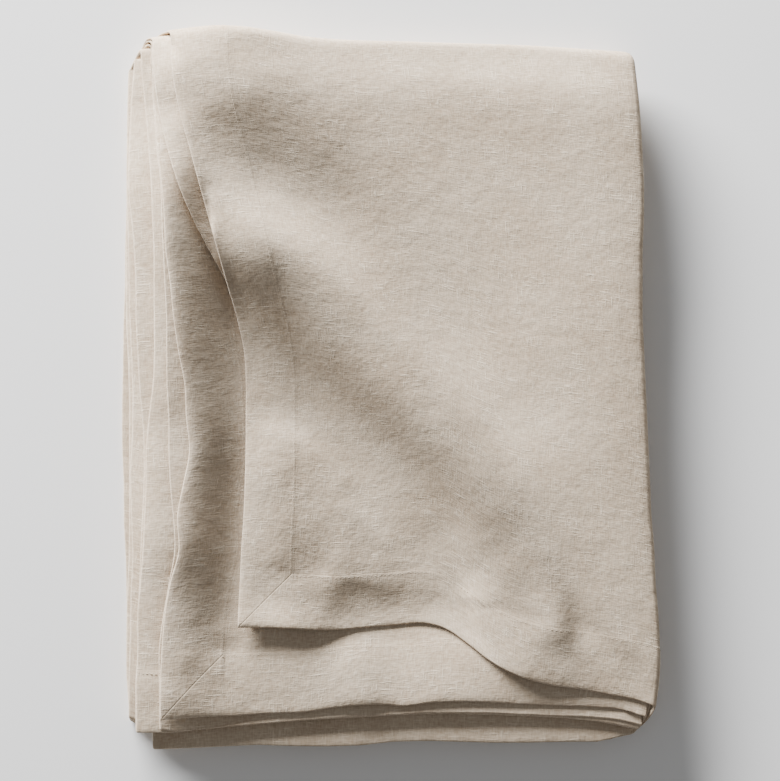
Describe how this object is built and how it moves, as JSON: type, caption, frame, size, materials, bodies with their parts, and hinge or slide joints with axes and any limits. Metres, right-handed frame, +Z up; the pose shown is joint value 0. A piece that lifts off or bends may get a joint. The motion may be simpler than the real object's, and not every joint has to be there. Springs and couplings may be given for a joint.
{
  "type": "folded tablecloth",
  "caption": "Rectangular linen tablecloth with deep mitred hems, folded in half both ways twice and lying flat as a soft pile.",
  "frame": {"origin": "under the middle of the pile's outline, on the surface that it lies on", "axes": "+Z up through the layers, +Y along the pile's longer side towards its thick fold, +X towards the fold on the other side"},
  "size_m": [0.3624, 0.4806, 0.0473],
  "materials": {
    "linen": "washed plain-weave linen, natural oatmeal colour, matt"
  },
  "bodies": {
    "root": {"tablecloth": "linen"}
  },
  "joints": []
}
